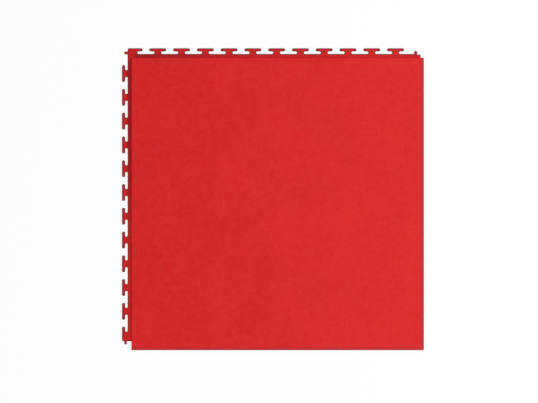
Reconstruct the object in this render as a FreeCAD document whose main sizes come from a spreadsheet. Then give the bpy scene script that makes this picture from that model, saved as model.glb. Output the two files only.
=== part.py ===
import FreeCAD, Part
import math
import os
import Sketcher

# Interlocking PVC floor tile, moulded in one piece.
# The wear face is a plain square. Under its left and far sides a thin ledge stands out and carries
# a row of T-shaped tabs. Under its right and near sides the next tile's ledge and tabs find a rebate
# and a row of matching sockets, so the joint stays hidden below the wear face.
# The origin is on the floor below the middle of the wear face, +Z is up and +Y points to the far row.

os.makedirs("parts", exist_ok=True)
doc = FreeCAD.newDocument("floor_tile")

# driving dimensions in millimetres
sheet = doc.addObject("Spreadsheet::Sheet", "Size")
dimensions = [
    ("layModule", "500", "from one laid tile to the next"),
    ("jointGap", "1.4", "between the wear faces of two laid tiles"),
    ("tileThickness", "5", "floor to wear face"),
    ("tabThickness", "2.4", "ledge and tabs"),
    ("heightClearance", "0.1", "skin above a neighbour's tabs"),
    ("lockClearance", "0.3", "all round a neighbour's ledge and tabs"),
    ("arrisRadius", "1.2", "rounded rim of the wear face"),
    ("ledgeWidth", "6.6", "wear face to where the tabs begin"),
    ("tabPitch", "40.55", "middle to middle of two tabs"),
    ("fullTabs", "11", "whole tabs in a row, after its end piece"),
    ("headLength", "29.1", "T head along the row"),
    ("headDepth", "5.4", "T head outwards, with round ends"),
    ("neckWidth", "11.5", "T neck at its narrowest"),
    ("neckLength", "4.2", "ledge to head, and the width of the round slot beside a neck"),
    ("farRowStart", "-245", "middle of the far row's end piece"),
    ("leftRowStart", "-223.7", "middle of the left row's end piece"),
    ("endPieceRound", "1.5", "outer corner of an end piece"),
    ("cornerStubWidth", "4.8", "round-ended stub beside the corner piece"),
    ("cornerStubReach", "5.8", "out from the left ledge"),
    ("cornerStubShift", "1.6", "its middle beyond the far ledge's edge"),
    ("lowStubWidth", "4.3", "stub below the left row's end piece"),
    ("lowStubReach", "5.4", "down from the end piece"),
    ("lowStubShift", "3.5", "its middle out from the left ledge's edge"),
    ("rightStubWidth", "5.4", "stub near the far ledge's right end"),
    ("rightStubReach", "5", "out from the far ledge"),
    ("rightStubPlace", "235.3", "its middle, from the middle of the tile"),
    ("channelWidth", "4", "channels in the underside"),
    ("channelDepth", "1", "upwards from the floor"),
    ("channels", "12", "each way, one tab pitch apart"),
    ("overlap", "1", "how far a profile runs past the face that it joins or cuts"),
]
for number, (alias, plainNumber, note) in enumerate(dimensions, start=1):
    sheet.set("A%d" % number, note)
    sheet.set("B%d" % number, plainNumber)
    sheet.setAlias("B%d" % number, alias)
doc.recompute()

body = doc.addObject("PartDesign::Body", "floor_tile")
body.Label = "floor_tile"
origin = {feature.Role: feature for feature in body.Origin.OriginFeatures}
upwards = FreeCAD.Vector(0, 0, 1)

# formulas on the sheet's cells
half = "((Size.layModule - Size.jointGap) / 2)"
ledgeEdge = f"({half} + Size.ledgeWidth)"
nextLedgeEdge = f"(Size.layModule - {ledgeEdge})"
coreEdge = f"({nextLedgeEdge} - Size.lockClearance)"
skinUnder = "(Size.tabThickness + Size.heightClearance)"


def value(formula):
    return float(body.evalExpression(formula))


def newSketch(name, atX="0", atY="0", atZ="0", turn=0):
    sketch = body.newObject("Sketcher::SketchObject", name)
    sketch.AttachmentSupport = [(origin["XY_Plane"], "")]
    sketch.MapMode = "FlatFace"
    sketch.AttachmentOffset = FreeCAD.Placement(FreeCAD.Vector(), FreeCAD.Rotation(upwards, turn))
    for letter, formula in (("x", atX), ("y", atY), ("z", atZ)):
        sketch.setExpression(".AttachmentOffset.Base." + letter, f"{formula} * 1 mm")
    return sketch


def constrain(sketch, kind, *places):
    return sketch.addConstraint(Sketcher.Constraint(kind, *places))


def hold(sketch, kind, place, formula):
    """One dimension, bound to the sheet."""
    index = constrain(sketch, kind, *place, value(formula))
    sketch.setExpression(f"Constraints[{index}]", f"{formula} * 1 mm")


def holdPoint(sketch, place, formulas):
    hold(sketch, "DistanceX", (-1, 1, *place), formulas[0])
    hold(sketch, "DistanceY", (-1, 1, *place), formulas[1])


def addArc(sketch, middle, radius, first):
    """A half circle, anticlockwise from the angle first, about a middle given by two formulas."""
    centre = FreeCAD.Vector(value(middle[0]), value(middle[1]), 0)
    circle = Part.Circle(centre, upwards, value(radius))
    arc = sketch.addGeometry(Part.ArcOfCircle(circle, first, first + math.pi), False)
    holdPoint(sketch, (arc, 3), middle)
    hold(sketch, "Radius", (arc,), radius)
    return arc


def addPath(sketch, corners, start=None, finish=None):
    """Lines through corners, each a pair of formulas, from one drawn end to another, or closed."""
    points = [FreeCAD.Vector(value(x), value(y), 0) for x, y in corners]
    if start:
        points = [sketch.getPoint(*start)] + points + [sketch.getPoint(*finish)]
    else:
        points.append(points[0])
    lines = [sketch.addGeometry(Part.LineSegment(a, b), False) for a, b in zip(points, points[1:])]
    for before, after in zip(lines, lines[1:]):
        constrain(sketch, "Coincident", before, 2, after, 1)
    if start:
        constrain(sketch, "Coincident", *start, lines[0], 1)
        constrain(sketch, "Coincident", lines[-1], 2, *finish)
    else:
        constrain(sketch, "Coincident", lines[-1], 2, lines[0], 1)
    for line, corner in zip(lines[1:] if start else lines, corners):
        holdPoint(sketch, (line, 1), corner)


def rectangle(name, left, right, low, high, atZ="0"):
    sketch = newSketch(name, atZ=atZ)
    addPath(sketch, [(left, low), (right, low), (right, high), (left, high)])
    return sketch


def pad(name, sketch, thickness):
    doc.recompute()
    feature = body.newObject("PartDesign::Pad", name)
    feature.Profile = sketch
    feature.setExpression("Length", f"{thickness} * 1 mm")
    doc.recompute()
    return feature


def pocket(name, sketch, depth=skinUnder):
    """Cuts upwards from the floor, and stops the macro where it would cut nothing."""
    doc.recompute()
    before = body.Shape.Volume
    feature = body.newObject("PartDesign::Pocket", name)
    feature.Profile = sketch
    feature.Reversed = True
    feature.setExpression("Length", f"{depth} * 1 mm")
    doc.recompute()
    if body.Shape.Volume > before - 1:
        raise RuntimeError(name + " cuts nothing")
    return feature


def repeat(feature, axis, count):
    """Repeats a feature along a row, one tab pitch apart."""
    pattern = body.newObject("PartDesign::LinearPattern", feature.Name + "Row")
    pattern.Originals = [feature]
    pattern.Direction = (origin[axis], [""])
    pattern.setExpression("Occurrences", count)
    pattern.setExpression("Length", f"Size.tabPitch * ({count} - 1) * 1 mm")
    body.Tip = pattern
    doc.recompute()


# A tab's sketch starts on the ledge's edge in the middle of the tab, and the tab points to +Y.
neckMiddle = "((Size.neckWidth + Size.neckLength) / 2)"
headMiddle = "((Size.headLength - Size.headDepth) / 2)"
slotHalf = "(Size.neckLength / 2)"
headHalf = "(Size.headDepth / 2)"
headAway = f"(Size.neckLength + {headHalf})"
tabReach = "(Size.neckLength + Size.headDepth)"
root = "-Size.overlap"


def tabSide(sketch, sign):
    """One side of a tab: the half circle beside the neck, the head's inner side and its round end.

    sign is "" for the right side and "-" for the left. Returns the ends at the ledge and at the top.
    """
    first = -math.pi / 2 if sign else math.pi / 2
    neck = addArc(sketch, (sign + neckMiddle, slotHalf), slotHalf, first)
    head = addArc(sketch, (sign + headMiddle, headAway), headHalf, -first)
    inner, outer = (2, 1) if sign else (1, 2)
    for arc in (neck, head):
        constrain(sketch, "Vertical", arc, 1, arc, 3)
        constrain(sketch, "Vertical", arc, 2, arc, 3)
    addPath(sketch, [], (neck, inner), (head, inner))
    return (neck, outer), (head, outer)


def tabSketch(name, atX, atY, turn):
    sketch = newSketch(name, atX, atY, turn=turn)
    rightLow, rightHigh = tabSide(sketch, "")
    leftLow, leftHigh = tabSide(sketch, "-")
    addPath(sketch, [], rightHigh, leftHigh)
    addPath(sketch, [("-" + neckMiddle, root), (neckMiddle, root)], leftLow, rightLow)
    return sketch


def endPieceSketch(name, atX, atY, turn, side):
    """Half a tab, and on its other side a plain block as far as side."""
    sketch = newSketch(name, atX, atY, turn=turn)
    rightLow, rightHigh = tabSide(sketch, "")
    bend = "Size.endPieceRound"
    corner = sketch.addGeometry(
        Part.ArcOfCircle(
            Part.Circle(
                FreeCAD.Vector(value(f"{side} + {bend}"), value(f"{tabReach} - {bend}"), 0),
                upwards,
                value(bend),
            ),
            math.pi / 2,
            math.pi,
        ),
        False,
    )
    holdPoint(sketch, (corner, 3), (f"({side} + {bend})", f"({tabReach} - {bend})"))
    hold(sketch, "Radius", (corner,), bend)
    constrain(sketch, "Vertical", corner, 1, corner, 3)
    constrain(sketch, "Horizontal", corner, 2, corner, 3)
    addPath(sketch, [], rightHigh, (corner, 1))
    addPath(sketch, [(side, root), (neckMiddle, root)], (corner, 2), rightLow)
    return sketch


def stubSketch(name, atX, atY, turn, width, reach):
    """A round-ended stub that points to the sketch's +Y."""
    sketch = newSketch(name, atX, atY, turn=turn)
    radius = f"({width} / 2)"
    tip = addArc(sketch, ("0", f"({reach} - {radius})"), radius, 0)
    constrain(sketch, "Horizontal", tip, 1, tip, 3)
    constrain(sketch, "Horizontal", tip, 2, tip, 3)
    addPath(sketch, [("-" + radius, root), (radius, root)], (tip, 2), (tip, 1))
    return sketch


def socketSide(sign):
    """The room for one side of a tab, from the ledge to the top, with the clearance all round.

    The room's round ends have flat sides, outside the circle at a head and inside it at a neck.
    """
    slot = f"({slotHalf} - Size.lockClearance)"
    end = f"({headHalf} + Size.lockClearance)"
    bevel = f"({end} * tan(22.5 deg))"
    neckSide = f"{sign}({neckMiddle} - {slot} * cos(30 deg))"
    beside = f"{sign}({headMiddle} + {bevel})"
    beyond = f"{sign}({headMiddle} + {end})"
    return [
        (sign + neckMiddle, f"({slotHalf} - {slot})"),
        (neckSide, f"({slotHalf} - {slot} / 2)"),
        (neckSide, f"({slotHalf} + {slot} / 2)"),
        (sign + neckMiddle, f"({slotHalf} + {slot})"),
        (beside, f"({headAway} - {end})"),
        (beyond, f"({headAway} - {bevel})"),
        (beyond, f"({headAway} + {bevel})"),
        (beside, f"({headAway} + {end})"),
    ]


def socketSketch(name, atX, atY, turn):
    sketch = newSketch(name, atX, atY, turn=turn)
    roots = [("-" + neckMiddle, root), (neckMiddle, root)]
    addPath(sketch, socketSide("") + socketSide("-")[::-1] + roots)
    return sketch


def endSocketSketch(name, atX, atY, turn, side):
    sketch = newSketch(name, atX, atY, turn=turn)
    high = f"({tabReach} + Size.lockClearance)"
    addPath(sketch, socketSide("") + [(side, high), (side, root), (neckMiddle, root)])
    return sketch


# the layer under the wear face, the two ledges, and the skin with its rounded rim
core = rectangle("CoreSketch", "-" + half, coreEdge, "-" + coreEdge, half)
pad("Core", core, skinUnder)
ledges = rectangle("LedgeSketch", "-" + ledgeEdge, coreEdge, "-" + coreEdge, ledgeEdge)
pad("Ledges", ledges, "Size.tabThickness")
skin = rectangle("SkinSketch", "-" + half, half, "-" + half, half, atZ=skinUnder)
wearSkin = pad("WearSkin", skin, f"(Size.tileThickness - {skinUnder})")
top = wearSkin.Shape.BoundBox.ZMax
rim = [
    f"Edge{number}"
    for number, edge in enumerate(wearSkin.Shape.Edges, start=1)
    if edge.BoundBox.ZMin > top - 0.001
]
arris = body.newObject("PartDesign::Fillet", "Arris")
arris.Base = (wearSkin, rim)
arris.setExpression("Radius", "Size.arrisRadius * 1 mm")
doc.recompute()

# the two rows of tabs: one tab each, repeated
firstFar = "(Size.farRowStart + Size.tabPitch)"
firstLeft = "(Size.leftRowStart + Size.tabPitch)"
farTab = pad("FarTab", tabSketch("FarTabSketch", firstFar, ledgeEdge, 0), "Size.tabThickness")
repeat(farTab, "X_Axis", "Size.fullTabs")
leftTab = pad("LeftTab", tabSketch("LeftTabSketch", "-" + ledgeEdge, firstLeft, 90), "Size.tabThickness")
repeat(leftTab, "Y_Axis", "Size.fullTabs")

# The corner piece ends on the left ledge's line, and the low piece above the next tile's corner piece.
lowEnd = f"({ledgeEdge} + {tabReach} - Size.layModule + Size.lockClearance)"
cornerSide = f"(-{ledgeEdge} - Size.farRowStart)"
lowSide = f"({lowEnd} - Size.leftRowStart)"
cornerPiece = endPieceSketch("CornerPieceSketch", "Size.farRowStart", ledgeEdge, 0, cornerSide)
pad("CornerPiece", cornerPiece, "Size.tabThickness")
lowPiece = endPieceSketch("LowPieceSketch", "-" + ledgeEdge, "Size.leftRowStart", 90, lowSide)
pad("LowPiece", lowPiece, "Size.tabThickness")

# round-ended stubs beside the corner piece, below the low piece and near the far ledge's right end
stubs = [
    ("CornerStub", "-" + ledgeEdge, f"({ledgeEdge} + Size.cornerStubShift)", 90, "cornerStub"),
    ("LowStub", f"(-{ledgeEdge} - Size.lowStubShift)", lowEnd, 180, "lowStub"),
    ("RightStub", "Size.rightStubPlace", ledgeEdge, 0, "rightStub"),
]
for name, atX, atY, turn, alias in stubs:
    width, reach = f"Size.{alias}Width", f"Size.{alias}Reach"
    pad(name, stubSketch(name + "Sketch", atX, atY, turn, width, reach), "Size.tabThickness")

# sockets for the tabs of the tiles to the right and in front, one module away
rightSocket = pocket("RightSocket", socketSketch("RightSocketSketch", nextLedgeEdge, firstLeft, 90))
repeat(rightSocket, "Y_Axis", "Size.fullTabs")
nearSocket = pocket("NearSocket", socketSketch("NearSocketSketch", firstFar, "-" + nextLedgeEdge, 0))
repeat(nearSocket, "X_Axis", "Size.fullTabs")

# The corner socket runs out past the left ledge and so ends it. The low one opens into the corner
# relief, which leaves room for the ends of the three tiles that meet this one's right near corner.
pastLedge = f"({cornerSide} - Size.headLength)"
corner = endSocketSketch("CornerSocketSketch", "Size.farRowStart", "-" + nextLedgeEdge, 0, pastLedge)
pocket("CornerSocket", corner)
intoRelief = f"({lowSide} - Size.lockClearance - Size.overlap)"
low = endSocketSketch("LowSocketSketch", nextLedgeEdge, "Size.leftRowStart", 90, intoRelief)
pocket("LowSocket", low)
pastCore = f"({coreEdge} + Size.overlap)"
reliefLeft = "(Size.rightStubPlace - Size.rightStubWidth / 2 - Size.lockClearance)"
reliefHigh = f"({lowEnd} - Size.lockClearance)"
relief = rectangle("CornerReliefSketch", reliefLeft, pastCore, "-" + pastCore, reliefHigh)
pocket("CornerRelief", relief)

# a notch in the far ledge's right end for the next tile's corner stub
notchLeft = f"({nextLedgeEdge} - Size.cornerStubReach - Size.lockClearance)"
notchLow = f"({ledgeEdge} + Size.cornerStubShift - Size.cornerStubWidth / 2 - Size.lockClearance)"
notchHigh = f"({ledgeEdge} + Size.overlap)"
notch = rectangle("LedgeNotchSketch", notchLeft, pastCore, notchLow, notchHigh)
pocket("LedgeNotch", notch)

# crossing channels in the underside leave square pads, one of them in the middle
channelEnd = "(((Size.channels - 1) * Size.tabPitch + Size.channelWidth) / 2)"
channelInner = f"({channelEnd} - Size.channelWidth)"
acrossSketch = rectangle("AcrossSketch", "-" + channelEnd, "-" + channelInner, "-" + channelEnd, channelEnd)
repeat(pocket("AcrossChannel", acrossSketch, "Size.channelDepth"), "X_Axis", "Size.channels")
alongSketch = rectangle("AlongSketch", "-" + channelEnd, channelEnd, "-" + channelEnd, "-" + channelInner)
repeat(pocket("AlongChannel", alongSketch, "Size.channelDepth"), "Y_Axis", "Size.channels")

for item in doc.Objects:
    if "Invalid" in item.State or "Error" in item.State:
        raise RuntimeError("not computed: " + item.Name)
if body.Shape.isNull() or not body.Shape.isValid() or len(body.Shape.Solids) != 1:
    raise RuntimeError("the tile isn't one valid solid")
body.Shape.exportStep("parts/floor_tile.step")
print("floor_tile", round(body.Shape.Volume, 1), "mm3", len(body.Shape.Faces), "faces")
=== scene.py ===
import math
import bmesh
import bpy
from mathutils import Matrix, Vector


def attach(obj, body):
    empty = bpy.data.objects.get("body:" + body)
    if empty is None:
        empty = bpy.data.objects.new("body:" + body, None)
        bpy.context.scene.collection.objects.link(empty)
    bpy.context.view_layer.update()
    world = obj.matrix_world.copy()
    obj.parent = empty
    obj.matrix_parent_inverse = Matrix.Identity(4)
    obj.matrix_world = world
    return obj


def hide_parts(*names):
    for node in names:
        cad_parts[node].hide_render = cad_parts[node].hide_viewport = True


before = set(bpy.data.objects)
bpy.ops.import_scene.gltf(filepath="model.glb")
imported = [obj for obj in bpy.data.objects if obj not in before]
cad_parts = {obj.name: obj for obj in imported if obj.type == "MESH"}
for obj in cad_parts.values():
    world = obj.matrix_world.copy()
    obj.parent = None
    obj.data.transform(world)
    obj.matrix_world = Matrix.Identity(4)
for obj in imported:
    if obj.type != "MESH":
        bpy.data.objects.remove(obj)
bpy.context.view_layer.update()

mm = 0.001


def addNode(tree, kind, links=None, **settings):
    # a link's source is a node, which gives its first output, or a socket, or a plain value
    node = tree.nodes.new(kind)
    for name, setting in settings.items():
        setattr(node, name, setting)
    for socket, source in (links or {}).items():
        if isinstance(source, bpy.types.Node):
            source = source.outputs[0]
        if isinstance(source, bpy.types.NodeSocket):
            tree.links.new(source, node.inputs[socket])
        else:
            node.inputs[socket].default_value = source
    return node


def linear(hexColour):
    # sRGB hex to the linear colour that the shader takes
    parts = [int(hexColour[k:k + 2], 16) / 255 for k in (1, 3, 5)]
    return [p / 12.92 if p <= 0.04045 else ((p + 0.055) / 1.055) ** 2.4 for p in parts] + [1]


# One moulded tile: a square skin over a core, ledges with rows of T tabs along its left and far sides,
# and sockets for the next tiles' tabs under the other two. Plan sizes and heights in mm, from an origin
# on the floor below the middle of the wear face.
tileSizes = {
    "module": 500.0,
    "wearHalf": 249.3,        # half the wear face
    "top": 5.0,
    "skinUnder": 2.5,         # underside of the skin over the sockets
    "skinFoot": 2.2,          # the skin starts here, inside the ledges, and the rebates cut it back
    "wearRim": (1.2, 0.85),   # rounded rim of the wear face, across and down
    "wearCorner": 1.5,        # upright corners of the wear face, no less than its rim
    "coreEdge": 243.8,        # the core's right and near sides, below the wear face
    "coreIn": 2.0,            # the core before its rebates, in from the wear face's edge
    "coreTop": 3.0,
    "ledgeEdge": 255.9,       # outer edge of the ledges
    "ledgeTop": 2.4,
    "ledgeUnder": 4.0,        # how far the ledges run in under the skin
    "ledgeRim": (2.5, 1.1),   # rounded rim of ledges and tabs, across and down
    "pitch": 40.55,
    "tabs": 11,               # in each row, without the end piece
    "headLength": 29.1,
    "headDepth": 5.4,
    "neckWidth": 11.5,
    "neckLength": 4.2,
    "tabRoot": 5.0,           # how far a tab runs into its ledge
    "rootWider": 2.5,         # how much wider its root is there, each way
    "rootDrop": 0.04,         # and how far below the slot's floor the root's shoulder lies
    "farStart": -245.0,       # middle of the far row's end piece
    "leftStart": -223.7,      # middle of the left row's end piece
    "endRound": 2.6,          # outer corner of the end pieces, no less than their rim
    "notch": (238.0, 254.8),  # in the far ledge's right end, for the next tile's stub
    "stubTop": 2.31,
    "stubRim": (1.4, 0.8),
    "stubRound": 1.8,         # their corners in plan, no less than their rim
    "stubs": {                # x, y, turn, width, length of the moulding stubs
        "cornerStub": (-255.9, 257.5, 90, 4.8, 5.8),
        "lowStub": (-259.4, -234.2, 180, 4.3, 5.4),
        "rightStub": (235.3, 255.9, 0, 5.4, 5.0),
    },
    "clearance": 0.3,         # round a tab in its socket
    "endClearance": 1.3,      # past the end of the left row's end piece
    "relief": 232.3,          # corner under the skin, right of this
    "beyond": 300.0,          # how far cuts that leave the tile run out
    "channels": 12,           # each way in the underside, a pitch apart
    "channelWidth": 4.0,
    "channelDepth": 1.0,
    "channelReach": 225.0,
    "footRim": 0.25,          # small break at the floor
    "mouthBreak": 0.25,       # and at the mouths of sockets and channels
    "weld": 0.002,            # points nearer to each other than this become one
    "sharpFrom": 32,          # degrees between faces at which an edge stays sharp
}

# Flexible PVC, injection moulded in a leather-grained and spark-eroded tool. It is satin and slightly
# uneven in tone, with soft pebbled grain on the wear face, and plainer and duller everywhere else.
# Its colour also carries painted shade: a darker red below the wear face, a painted shadow across the
# ledges beside it, and painted shade with a grey painted sheen on rolled rims and the ends of the tab heads.
# Sizes, depths and places in mm.
pvcLook = {
    "wear": "#de2023",          # wear face, its light and its deep tone
    "wearDeep": "#cc181b",
    "ledge": "#d01d20",         # ledges, tabs and underside, the same two; a darker copy of the wear face's red, as painted shade on the lower level
    "ledgeDeep": "#c3191c",
    "mottle": 85,               # size of the slow unevenness of tone
    "speck": 5,                 # size of the fine unevenness of tone
    "speckShare": 0.6,          # how strong the fine one is beside the slow one
    "rim": "#84262a",           # painted shade with a grey painted sheen where the rim of a ledge or tab rolls over, and on the stubs
    "tip": "#7c3238",           # painted shade with a grey painted sheen over the ends of the tab heads
    "tipShadeLength": 6.5,
    "edgeDarker": "#ab2c30",        # a darker band along the wear face's edges over the sockets
    "edgeDarkerWidth": (7, 0.8),    # in from the edge, where it begins and where it is full
    "edgeDarkerLeast": 0.6,
    "step": "#a00d11",          # painted shadow of the step, across the ledges beside the wear face
    "stepShadowWidth": (9.5, 6),      # out from the wear face, where it ends and where it is full
    "stepShadowMost": (-320, 160),    # the painted shadow is darkest near this place, x and y
    "stepShadowFade": (340, 60),      # distances from there at which it is gone and at which it is full
    "scuff": "#e2494a",         # scuffs and haze of the wear face, and worn spots on its rim
    "scuffWidth": 9,
    "scuffStretch": 0.09,       # how much slower a scuff changes along its length than across
    "scuffTurn": 34,
    "scuffMost": 0.18,
    "haze": 10,                 # size of the haze's clouds
    "hazeMost": 0.1,
    "wornMost": 0.6,
    "patch": 14,                # size of the patches of wear, and of shallower grain
    "pebble": 1.25,             # leather grain
    "pebbleDepth": 0.05,
    "pebbleCrown": 0.45,        # how far a pebble domes beside the depth of its valleys
    "pebbleValley": 0.34,       # how far into a pebble its valleys reach
    "pebbleLeast": 0.55,        # depth of the shallower grain
    "bend": 2.5,                # size of the bends in the grain
    "bendAway": 0.8,            # and how far they move it
    "peel": 7,                  # slow waviness of a moulded sheet
    "peelDepth": 0.035,
    "erosion": 0.3,             # spark-eroded dullness, coarser than the real 0.05
    "erosionDepth": 0.008,
    "roughness": 0.5,
    "duller": 0.03,             # roughness added below the wear face
    "smoother": 0.05,           # and taken off on it
    "ior": 1.53,
    "specular": 0.14,
}


def tileZones(tree, place, patchy, look, size):
    x, y, z = addNode(tree, "ShaderNodeSeparateXYZ", {0: place}).outputs
    half, top, ledgeTop = size["wearHalf"], size["top"], size["ledgeTop"]

    # how far out a point lies on the tab sides and on the socket sides, how far from where the painted step
    # shadow is darkest, and how far along from the middle of a tab
    left = addNode(tree, "ShaderNodeMath", {0: x, 1: -1}, operation="MULTIPLY")
    near = addNode(tree, "ShaderNodeMath", {0: y, 1: -1}, operation="MULTIPLY")
    tabSide = addNode(tree, "ShaderNodeMath", {0: left, 1: y}, operation="MAXIMUM")
    pastCorner = addNode(tree, "ShaderNodeMath", {0: left, 1: y}, operation="MINIMUM")
    socketSide = addNode(tree, "ShaderNodeMath", {0: x, 1: near}, operation="MAXIMUM")
    most = [v * mm for v in look["stepShadowMost"]] + [0]
    fromMost = addNode(tree, "ShaderNodeVectorMath", {0: place, 1: most},
                       operation="DISTANCE").outputs["Value"]
    along = []
    for source, start in ((x, size["farStart"]), (y, size["leftStart"])):
        shifted = addNode(tree, "ShaderNodeMath", {0: source, 1: start * mm}, operation="SUBTRACT")
        along.append(addNode(tree, "ShaderNodeMath", {0: shifted, 1: size["pitch"] / 2 * mm},
                             operation="PINGPONG"))

    # soft-edged zones, 0 at the first place and 1 at the second, in mm
    neckEnd = size["ledgeEdge"] + size["neckLength"]
    tipEnd = size["headLength"] / 2
    tipStart = tipEnd - look["tipShadeLength"]
    (edgeDarkerIn, edgeDarkerOut), (shadowOut, shadowIn) = look["edgeDarkerWidth"], look["stepShadowWidth"]
    zones = {}
    for name, source, start, end in (
            ("face", z, top - 0.4, top - 0.03),                  # the wear face without its rim
            ("aboveLedge", z, ledgeTop + 0.02, ledgeTop + 0.2),  # the skin
            ("tabSides", tabSide, half + 0.05, half + 0.3),      # ledges and tabs
            ("rollTop", z, ledgeTop - 0.015, ledgeTop - 0.15),   # their rolled rim
            ("rollFoot", z, 0.6, 1.5),
            ("farEnds", along[0], tipStart, tipEnd),             # both ends of each head, in the far row
            ("leftEnds", along[1], tipStart, tipEnd),            # and in the left row
            ("farHeads", y, neckEnd - 1.5, neckEnd),
            ("leftHeads", left, neckEnd - 1.5, neckEnd),
            # the next three shape the painted shadow of the step across the ledges
            ("besideStep", tabSide, half + shadowOut, half + shadowIn),
            ("besideFace", pastCorner, half + 1, half - 10),     # not past the wear face's corners
            ("nearMost", fromMost, *look["stepShadowFade"]),
            ("wornTop", z, top - 0.02, top - 0.3),               # the wear face's rim
            ("wornFoot", z, top - 1.4, top - 0.8),
            ("edgeBand", socketSide, half - edgeDarkerIn, half - edgeDarkerOut),
            ("edgeFoot", z, top - 1.8, top - 1)):
        zones[name] = addNode(tree, "ShaderNodeMapRange", {0: source, 1: start * mm, 2: end * mm},
                              interpolation_type="SMOOTHSTEP")

    # a noise keeps mostly between 0.3 and 0.7, so the upper part of it gives spots and the lower part gaps
    zones["patches"] = addNode(tree, "ShaderNodeMapRange",
                               {0: patchy, 1: 0.42, 2: 0.62, 4: look["wornMost"]})
    zones["uneven"] = addNode(tree, "ShaderNodeMapRange",
                              {0: patchy, 1: 0.35, 2: 0.6, 3: look["edgeDarkerLeast"]})

    # where several of them meet
    for name, first, *others in (
            # painted shade with a grey painted sheen where ledges, tabs and stubs roll over
            ("rim", "rollTop", "rollFoot", "tabSides"),
            ("edge", "edgeBand", "edgeFoot", "uneven"),
            ("worn", "wornTop", "wornFoot", "patches"),
            # the ends of the tab heads, which take painted shade and grey painted sheen
            ("farTipShade", "farEnds", "farHeads"),
            ("leftTipShade", "leftEnds", "leftHeads"),
            # the painted shadow of the step
            ("step", "besideStep", "tabSides", "besideFace", "nearMost")):
        zones[name] = zones[first]
        for other in others:
            zones[name] = addNode(tree, "ShaderNodeMath", {0: zones[name], 1: zones[other]},
                                  operation="MULTIPLY")
    return zones


def unevenTone(tree, place, look):
    # 0 where the compound is deep in tone, 1 where it is light, and mostly well between the two
    mottle = addNode(tree, "ShaderNodeTexNoise",
                     {"Vector": place, "Scale": 1 / (look["mottle"] * mm), "Detail": 4, "Roughness": 0.55})
    speck = addNode(tree, "ShaderNodeTexNoise",
                    {"Vector": place, "Scale": 1 / (look["speck"] * mm), "Detail": 3})
    both = addNode(tree, "ShaderNodeMath", {0: speck, 1: look["speckShare"], 2: mottle},
                   operation="MULTIPLY_ADD")
    return addNode(tree, "ShaderNodeMapRange", {0: both, 1: 0.4, 2: 1.2})


def marksOfUse(tree, place, face, look):
    # on the wear face, a faint haze with a few long scuffs
    drawn = addNode(tree, "ShaderNodeMapping",
                    {"Vector": place, "Rotation": (0, 0, math.radians(look["scuffTurn"])),
                     "Scale": (1, look["scuffStretch"], 1)})
    streaks = addNode(tree, "ShaderNodeTexNoise",
                      {"Vector": drawn, "Scale": 1 / (look["scuffWidth"] * mm), "Detail": 5,
                       "Roughness": 0.65})
    scuffs = addNode(tree, "ShaderNodeMapRange", {0: streaks, 1: 0.62, 2: 0.78, 4: look["scuffMost"]},
                     interpolation_type="SMOOTHSTEP")
    cloudy = addNode(tree, "ShaderNodeTexNoise",
                     {"Vector": place, "Scale": 1 / (look["haze"] * mm), "Detail": 3})
    haze = addNode(tree, "ShaderNodeMapRange", {0: cloudy, 1: 0.35, 2: 0.65, 4: look["hazeMost"]})
    pale = addNode(tree, "ShaderNodeMath", {0: scuffs, 1: haze}, operation="ADD")
    return addNode(tree, "ShaderNodeMath", {0: pale, 1: face}, operation="MULTIPLY")


def layeredColour(tree, tone, zones, look):
    # wear face and ledges between their light and deep tones, then what lies over each, zone by zone: marks
    # of use, a darker edge band, the painted step shadow, and painted shade with a grey painted sheen on rims
    # and head ends
    colours = {}
    for name in ("wear", "ledge"):
        deep, light = linear(look[name + "Deep"]), linear(look[name])
        colours[name] = addNode(tree, "ShaderNodeMix", {0: tone, 6: deep, 7: light},
                                data_type="RGBA").outputs[2]
    for name, zone, over in (
            ("wear", "scuffs", "scuff"), ("wear", "edge", "edgeDarker"), ("wear", "worn", "scuff"),
            ("ledge", "step", "step"), ("ledge", "farTipShade", "tip"), ("ledge", "leftTipShade", "tip"),
            ("ledge", "rim", "rim")):
        colours[name] = addNode(tree, "ShaderNodeMix",
                                {0: zones[zone], 6: colours[name], 7: linear(look[over])},
                                data_type="RGBA").outputs[2]
    return addNode(tree, "ShaderNodeMix", {0: zones["aboveLedge"], 6: colours["ledge"], 7: colours["wear"]},
                   data_type="RGBA").outputs[2]


def leatherRelief(tree, place, patchy, face, look):
    # rounded pebbles with soft valleys, shallower in some places, over the sheet's waviness and dullness
    bend = addNode(tree, "ShaderNodeTexNoise",
                   {"Vector": place, "Scale": 1 / (look["bend"] * mm), "Detail": 2})
    away = (look["bendAway"] * mm, look["bendAway"] * mm, 0)
    bent = addNode(tree, "ShaderNodeVectorMath", {0: bend.outputs["Color"], 1: away, 2: place},
                   operation="MULTIPLY_ADD")
    grid = {"Vector": bent, "Scale": 1 / (look["pebble"] * mm)}
    border = addNode(tree, "ShaderNodeTexVoronoi", grid, feature="DISTANCE_TO_EDGE")
    dome = addNode(tree, "ShaderNodeTexVoronoi", grid, feature="F1")
    valley = addNode(tree, "ShaderNodeMapRange", {0: border, 2: look["pebbleValley"]},
                     interpolation_type="SMOOTHSTEP")
    relief = addNode(tree, "ShaderNodeMath", {0: dome, 1: -look["pebbleCrown"], 2: valley},
                     operation="MULTIPLY_ADD")
    depth = addNode(tree, "ShaderNodeMapRange", {0: patchy, 1: 0.3, 2: 0.7, 3: look["pebbleLeast"], 4: 1.0})
    for share in (depth, face, look["pebbleDepth"] * mm):
        relief = addNode(tree, "ShaderNodeMath", {0: relief, 1: share}, operation="MULTIPLY")
    for name, detail in (("peel", 1), ("erosion", 3)):
        wave = addNode(tree, "ShaderNodeTexNoise",
                       {"Vector": place, "Scale": 1 / (look[name] * mm), "Detail": detail})
        relief = addNode(tree, "ShaderNodeMath", {0: wave, 1: look[name + "Depth"] * mm, 2: relief},
                         operation="MULTIPLY_ADD")
    return relief


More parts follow.
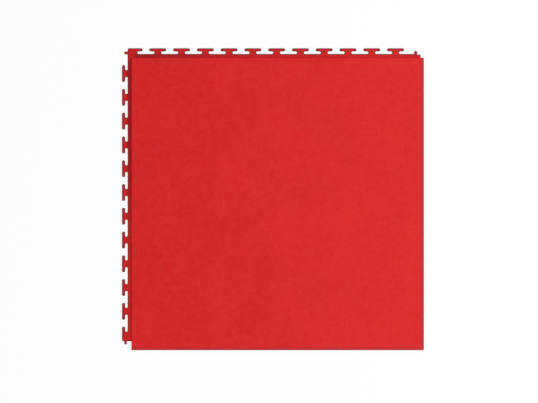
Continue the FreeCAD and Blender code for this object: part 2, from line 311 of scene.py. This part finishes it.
def mouldedPvc(look, size):
    # colour, relief and sheen follow the same zones, so that a worn place looks worn in all three
    material = bpy.data.materials.new("moulded flexible PVC, red")
    material.use_nodes = True
    tree = material.node_tree
    shader = tree.nodes["Principled BSDF"]
    place = addNode(tree, "ShaderNodeTexCoord").outputs["Object"]
    patchy = addNode(tree, "ShaderNodeTexNoise",
                     {"Vector": place, "Scale": 1 / (look["patch"] * mm), "Detail": 2})
    zones = tileZones(tree, place, patchy, look, size)
    tone = unevenTone(tree, place, look)
    zones["scuffs"] = marksOfUse(tree, place, zones["face"], look)
    tree.links.new(layeredColour(tree, tone, zones, look), shader.inputs["Base Color"])
    relief = leatherRelief(tree, place, patchy, zones["face"], look)
    bump = addNode(tree, "ShaderNodeBump", {"Height": relief, "Strength": 1, "Distance": 1})
    tree.links.new(bump.outputs[0], shader.inputs["Normal"])

    # sheen: uneven like the tone, duller off the wear face and on scuffs, a little polished at the edges
    dull = addNode(tree, "ShaderNodeMapRange",
                   {0: zones["aboveLedge"], 3: look["roughness"] + look["duller"],
                    4: look["roughness"] - look["smoother"]})
    for source, part in ((tone, 0.1), (zones["scuffs"], 0.5), (zones["edge"], -0.06)):
        dull = addNode(tree, "ShaderNodeMath", {0: source, 1: part, 2: dull}, operation="MULTIPLY_ADD")
    tree.links.new(dull.outputs[0], shader.inputs["Roughness"])
    shader.inputs["IOR"].default_value = look["ior"]
    shader.inputs["Specular IOR Level"].default_value = look["specular"]
    return material


pvc = mouldedPvc(pvcLook, tileSizes)
print("finish: moulded PVC made")


def arcPoints(x, y, radius, first, last, steps):
    turns = [math.radians(first + (last - first) * k / steps) for k in range(steps + 1)]
    return [(x + radius * math.cos(turn), y + radius * math.sin(turn)) for turn in turns]


def placed(points, x, y, turn=0):
    c, s = math.cos(math.radians(turn)), math.sin(math.radians(turn))
    return [(x + c * px - s * py, y + s * px + c * py) for px, py in points]


def boxOutline(left, right, low, high):
    return [(left, low), (right, low), (right, high), (left, high)]


def roundedSquare(half, radius, steps=4):
    outline = []
    for k, (sx, sy) in enumerate(((1, -1), (1, 1), (-1, 1), (-1, -1))):
        outline += arcPoints(sx * (half - radius), sy * (half - radius), radius, 90 * k - 90, 90 * k, steps)
    return outline


def stubOutline(width, reach, radius, root=3, steps=5):
    side, top = width / 2 - radius, reach - radius
    tip = arcPoints(side, top, radius, 0, 90, steps) + arcPoints(-side, top, radius, 90, 180, steps)
    return [(width / 2, -root)] + tip + [(-width / 2, -root)]


def halfTab(size, grow=0, steps=10):
    # right half of a tab from the ledge's line at y = 0 to the top, anticlockwise, its root inside the ledge
    slot, end = size["neckLength"] / 2, size["headDepth"] / 2
    neck = arcPoints(size["neckWidth"] / 2 + slot, slot, slot - grow, 270, 90, steps)
    head = arcPoints(size["headLength"] / 2 - end, 2 * slot + end, end + grow, -90, 90, steps)
    side = neck[0][0] + size["rootWider"]
    return [(side, -size["tabRoot"]), (side, neck[0][1] - size["rootDrop"])] + neck + head


def tabOutline(size, grow=0):
    side = halfTab(size, grow)
    return side + [(-x, y) for x, y in reversed(side)]


def rimProfile(thickness, rim, foot, steps=6):
    # (inset, height) pairs from the floor up: a small break, a plain wall, then the rolled rim
    across, down = rim
    turns = [math.pi / 2 * k / steps for k in range(steps + 1)]
    rolled = [(across * (1 - math.cos(turn)), thickness - down + down * math.sin(turn)) for turn in turns]
    return [(foot, 0), (0, foot)] + rolled


def cutProfile(height, mouth):
    # a cut from 1 mm below the floor, a little wider at its mouth
    return [(-mouth, -1), (-mouth, 0), (0, mouth), (0, height)]


def inset(points, distance):
    # an anticlockwise outline, each corner moved inwards along its mitre
    moved = []
    for before, here, after in zip(points[-1:] + points[:-1], points, points[1:] + points[:1]):
        a = Vector((here[0] - before[0], here[1] - before[1])).normalized()
        b = Vector((after[0] - here[0], after[1] - here[1])).normalized()
        side = Vector((-a.y - b.y, a.x + b.x)) / (1 + a.dot(b))
        moved.append((here[0] + distance * side.x, here[1] + distance * side.y))
    return moved


def mouldedPart(name, outline, profile):
    # a closed solid: the outline at each (inset, height) of the profile, with a face at either end
    shape = bmesh.new()
    rings = []
    for distance, height in profile:
        ring = [shape.verts.new((x * mm, y * mm, height * mm)) for x, y in inset(outline, distance)]
        rings.append(ring)
    for low, high in zip(rings, rings[1:]):
        for k in range(len(low)):
            shape.faces.new((low[k - 1], low[k], high[k], high[k - 1]))
    shape.faces.new(rings[0][::-1])
    shape.faces.new(rings[-1])
    mesh = bpy.data.meshes.new(name)
    shape.to_mesh(mesh)
    shape.free()
    part = bpy.data.objects.new(name, mesh)
    bpy.context.scene.collection.objects.link(part)
    return part


def rowTree():
    # Geometry Nodes: the object's own mesh, repeated along a row
    tree = bpy.data.node_groups.new("row of like parts", "GeometryNodeTree")
    for name, kind in (("Part", "Geometry"), ("Count", "Int"), ("Start", "Vector"), ("Step", "Vector"),
                       ("Finish", "Material")):
        tree.interface.new_socket(name, in_out="INPUT", socket_type="NodeSocket" + kind)
    tree.interface.new_socket("Row", in_out="OUTPUT", socket_type="NodeSocketGeometry")
    given = addNode(tree, "NodeGroupInput").outputs
    line = addNode(tree, "GeometryNodeMeshLine", {"Count": given["Count"], "Start Location": given["Start"],
                                                  "Offset": given["Step"]}, mode="OFFSET")
    spread = addNode(tree, "GeometryNodeInstanceOnPoints", {"Points": line, "Instance": given["Part"]})
    real = addNode(tree, "GeometryNodeRealizeInstances", {0: spread})
    finished = addNode(tree, "GeometryNodeSetMaterial", {"Geometry": real, "Material": given["Finish"]})
    addNode(tree, "NodeGroupOutput", {0: finished})
    return tree


rows = rowTree()
rowInputs = {item.name: item.identifier for item in rows.interface.items_tree}


def plainMesh(part):
    # what the modifiers give becomes the object's own mesh
    graph = bpy.context.evaluated_depsgraph_get()
    mesh = bpy.data.meshes.new_from_object(part.evaluated_get(graph))
    part.modifiers.clear()
    part.data = mesh


def repeatPart(part, count, start, step):
    modifier = part.modifiers.new("row", "NODES")
    modifier.node_group = rows
    modifier[rowInputs["Count"]] = count
    modifier[rowInputs["Start"]] = [v * mm for v in start]
    modifier[rowInputs["Step"]] = [v * mm for v in step]
    modifier[rowInputs["Finish"]] = pvc
    plainMesh(part)
    return part


def endPieces(size):
    # how far tabs and end pieces stand out from their ledge, and where the left row ends at the near side
    reach = size["neckLength"] + size["headDepth"]
    return reach, size["ledgeEdge"] + reach - size["module"] + size["clearance"]


def raisedParts(size):
    # the ledges, the two rows of tabs with their end pieces, and the stubs
    half, ledge, core, pitch = size["wearHalf"], size["ledgeEdge"], size["coreEdge"], size["pitch"]
    reach, lowEnd = endPieces(size)
    under = half - size["ledgeUnder"]
    notchX, notchY = size["notch"]
    profile = rimProfile(size["ledgeTop"], size["ledgeRim"], size["footRim"])
    outline = [(-ledge, lowEnd), (-under, lowEnd), (-under, under), (core, under),
               (core, notchY), (notchX, notchY), (notchX, ledge), (-ledge, ledge)]
    parts = [mouldedPart("ledges", outline, profile)]
    farTabs = mouldedPart("farTabs", tabOutline(size), profile)
    parts.append(repeatPart(farTabs, size["tabs"], (size["farStart"] + pitch, ledge, 0), (pitch, 0, 0)))
    leftTabs = mouldedPart("leftTabs", placed(tabOutline(size), 0, 0, 90), profile)
    parts.append(repeatPart(leftTabs, size["tabs"], (-ledge, size["leftStart"] + pitch, 0), (0, pitch, 0)))

    # half a tab, then a plain block as far as the ledge's end
    radius = size["endRound"]
    for name, x, y, turn, end in (("cornerPiece", size["farStart"], ledge, 0, -ledge - size["farStart"]),
                                  ("lowPiece", -ledge, size["leftStart"], 90, lowEnd - size["leftStart"])):
        corner = arcPoints(end + radius, reach - radius, radius, 90, 180, 5)
        outline = halfTab(size) + corner + [(end, -size["tabRoot"])]
        parts.append(mouldedPart(name, placed(outline, x, y, turn), profile))

    profile = rimProfile(size["stubTop"], size["stubRim"], size["footRim"])
    for name, (x, y, turn, width, length) in size["stubs"].items():
        outline = stubOutline(width, length, size["stubRound"])
        parts.append(mouldedPart(name, placed(outline, x, y, turn), profile))
    return parts


def sunkParts(size):
    # room under the skin for the next tiles: their ledges, and their tabs one module away
    core, clear, pitch, beyond = size["coreEdge"], size["clearance"], size["pitch"], size["beyond"]
    nextLedge = size["module"] - size["ledgeEdge"]
    reach, lowEnd = endPieces(size)
    profile = cutProfile(size["skinUnder"], size["mouthBreak"])
    parts = [mouldedPart("rightRebate", boxOutline(core, beyond, -beyond, beyond), profile),
             mouldedPart("nearRebate", boxOutline(-beyond, beyond, -beyond, -core), profile),
             mouldedPart("relief", boxOutline(size["relief"], beyond, -beyond, lowEnd - clear), profile)]
    room = tabOutline(size, clear)
    right = mouldedPart("rightSockets", placed(room, 0, 0, 90), profile)
    parts.append(repeatPart(right, size["tabs"], (nextLedge, size["leftStart"] + pitch, 0), (0, pitch, 0)))
    near = mouldedPart("nearSockets", room, profile)
    parts.append(repeatPart(near, size["tabs"], (size["farStart"] + pitch, -nextLedge, 0), (pitch, 0, 0)))
    cornerEnd = -beyond - size["farStart"]
    socketEnd = lowEnd - size["leftStart"] - size["endClearance"]
    for name, x, y, turn, end in (("cornerSocket", size["farStart"], -nextLedge, 0, cornerEnd),
                                  ("lowSocket", nextLedge, size["leftStart"], 90, socketEnd)):
        outline = halfTab(size, clear) + [(end, reach + clear), (end, -size["tabRoot"])]
        parts.append(mouldedPart(name, placed(outline, x, y, turn), profile))
    return parts


def underChannels(size):
    count, pitch = size["channels"], size["pitch"]
    reach, wide = size["channelReach"], size["channelWidth"] / 2
    first = -(count - 1) * pitch / 2
    profile = cutProfile(size["channelDepth"], size["mouthBreak"])
    across = mouldedPart("acrossChannels", boxOutline(-wide, wide, -reach, reach), profile)
    along = mouldedPart("alongChannels", boxOutline(-reach, reach, -wide, wide), profile)
    return [repeatPart(across, count, (first, 0, 0), (pitch, 0, 0)),
            repeatPart(along, count, (0, first, 0), (0, pitch, 0))]


def makeTile(size):
    # the skin is a plain wall from inside the ledges to its rolled rim, and every other part joins or cuts it
    half = size["wearHalf"]
    inner = half - size["coreIn"]
    wearProfile = [(0, size["skinFoot"])] + rimProfile(size["top"], size["wearRim"], 0)[2:]
    tile = mouldedPart("tile", roundedSquare(half, size["wearCorner"]), wearProfile)
    core = mouldedPart("core", boxOutline(-inner, inner, -inner, inner), [(0, 0), (0, size["coreTop"])])
    steps = (("UNION", [core]), ("DIFFERENCE", sunkParts(size)), ("UNION", raisedParts(size)),
             ("DIFFERENCE", underChannels(size)))
    for operation, parts in steps:
        for part in parts:
            join = tile.modifiers.new(part.name, "BOOLEAN")
            join.operation = operation
            join.object = part
            join.solver = "MANIFOLD"
    plainMesh(tile)
    for operation, parts in steps:
        for part in parts:
            bpy.data.objects.remove(part)
    return tile


def settleMesh(part, size):
    # doubles and needle faces out, rims smooth, flats flat
    shape = bmesh.new()
    shape.from_mesh(part.data)
    bmesh.ops.remove_doubles(shape, verts=shape.verts, dist=size["weld"] * mm)
    bmesh.ops.dissolve_degenerate(shape, edges=shape.edges, dist=size["weld"] * mm)
    bmesh.ops.recalc_face_normals(shape, faces=shape.faces)
    openEdges = [edge for edge in shape.edges if len(edge.link_faces) != 2]
    print("tile:", len(shape.verts), "points,", len(shape.faces), "faces,", len(openEdges), "open edges,",
          round(shape.calc_volume() / mm ** 3, 1), "mm3")
    shape.to_mesh(part.data)
    shape.free()
    part.data.shade_smooth()
    part.data.set_sharp_from_angle(angle=math.radians(size["sharpFrom"]))
    weight = part.modifiers.new("flat faces first", "WEIGHTED_NORMAL")
    weight.keep_sharp = True
    plainMesh(part)
    part.data.materials.clear()
    part.data.materials.append(pvc)


tile = makeTile(tileSizes)
settleMesh(tile, tileSizes)
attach(tile, "root")
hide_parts("floor_tile")

# Matt white sweep: the camera sees it near white with the tile's shadow, the tile a paler grey of it.
floorLook = {
    "size": 9.0,
    "below": 0.1,       # mm under the tile
    "seen": 0.98,       # its colour to the camera
    "bounce": 0.6,      # and to the tile
    "glow": 0.84,       # how much of what the camera sees is even white, without the shadow
    "roughness": 0.9,
    "specular": 0.1,
}


def seenRay(tree):
    # 1 for a ray from the camera, or one that is mirrored or let through on its way
    ray = addNode(tree, "ShaderNodeLightPath").outputs
    direct = addNode(tree, "ShaderNodeMath", {0: ray["Is Camera Ray"], 1: ray["Is Glossy Ray"]},
                     operation="MAXIMUM")
    return addNode(tree, "ShaderNodeMath", {0: direct, 1: ray["Is Transmission Ray"]}, operation="MAXIMUM")


def makeFloor(look):
    shape = bmesh.new()
    bmesh.ops.create_grid(shape, x_segments=4, y_segments=4, size=look["size"] / 2)
    bmesh.ops.translate(shape, verts=shape.verts, vec=(0, 0, -look["below"] * mm))
    mesh = bpy.data.meshes.new("floor")
    shape.to_mesh(mesh)
    shape.free()
    floor = bpy.data.objects.new("floor", mesh)
    bpy.context.scene.collection.objects.link(floor)

    paper = bpy.data.materials.new("matt white sweep")
    paper.use_nodes = True
    tree = paper.node_tree
    shader = tree.nodes["Principled BSDF"]
    shader.inputs["Roughness"].default_value = look["roughness"]
    shader.inputs["Specular IOR Level"].default_value = look["specular"]
    seen = seenRay(tree)
    tone = addNode(tree, "ShaderNodeMix",
                   {0: seen, 6: [look["bounce"]] * 3 + [1], 7: [look["seen"]] * 3 + [1]},
                   data_type="RGBA").outputs[2]
    tree.links.new(tone, shader.inputs["Base Color"])
    part = addNode(tree, "ShaderNodeMath", {0: seen, 1: look["glow"]}, operation="MULTIPLY")
    glow = addNode(tree, "ShaderNodeEmission", {"Color": (1, 1, 1, 1), "Strength": 1.0})
    mixed = addNode(tree, "ShaderNodeMixShader", {0: part, 1: shader.outputs[0], 2: glow})
    tree.links.new(mixed.outputs[0], tree.nodes["Material Output"].inputs["Surface"])
    mesh.materials.append(paper)
    return floor


makeFloor(floorLook)

# Places and sizes in metres. A share is how much of full white a matt white surface at the middle of
# the tile gets from the lamp.
studioLook = {
    "sky": 0.34,
    "key": {"place": (1.6, -0.1, 2.5), "size": 1.6, "share": 0.53},
    "farSide": {"place": (1.3, 1.2, 0.9), "size": 0.4, "share": 0.05},
    "lowSide": {"place": (-2.6, -1.9, 1.7), "size": 0.8, "share": 0.08},
}


def makeWorld(level):
    world = bpy.data.worlds.new("studio")
    bpy.context.scene.world = world
    world.use_nodes = True
    tree = world.node_tree
    strength = addNode(tree, "ShaderNodeMapRange", {0: seenRay(tree), 3: level, 4: 1.0})
    tree.links.new(strength.outputs[0], tree.nodes["Background"].inputs["Strength"])
    tree.nodes["Background"].inputs["Color"].default_value = (1, 1, 1, 1)


def softbox(name, place, size, share):
    away = Vector(place)
    lamp = bpy.data.lights.new(name, "AREA")
    lamp.shape = "DISK"
    lamp.size = size
    lamp.energy = share * math.pi ** 2 * away.length ** 3 / away.z
    box = bpy.data.objects.new(name, lamp)
    box.location = away
    box.rotation_euler = (-away).to_track_quat("-Z", "Y").to_euler()
    bpy.context.scene.collection.objects.link(box)


makeWorld(studioLook["sky"])
for name in ("key", "farSide", "lowSide"):
    softbox(name, **studioLook[name])

# straight down over the tile, from far off with a long lens
cameraLook = {
    "lens": 300,
    "sensor": 36,
    "across": 0.9171,             # width of the picture on the wear face, in metres
    "middle": (-0.0148, 0.0042),  # of the picture, on the tile
    "clipEnd": 100,
}
lens = bpy.data.cameras.new("camera")
lens.sensor_width = cameraLook["sensor"]
lens.lens = cameraLook["lens"]
lens.clip_end = cameraLook["clipEnd"]
camera = bpy.data.objects.new("camera", lens)
height = cameraLook["across"] * cameraLook["lens"] / cameraLook["sensor"] + tileSizes["top"] * mm
camera.location = (*cameraLook["middle"], height)
bpy.context.scene.collection.objects.link(camera)
bpy.context.scene.camera = camera
bpy.context.scene.view_settings.view_transform = "Standard"
print("floor, light and camera set")
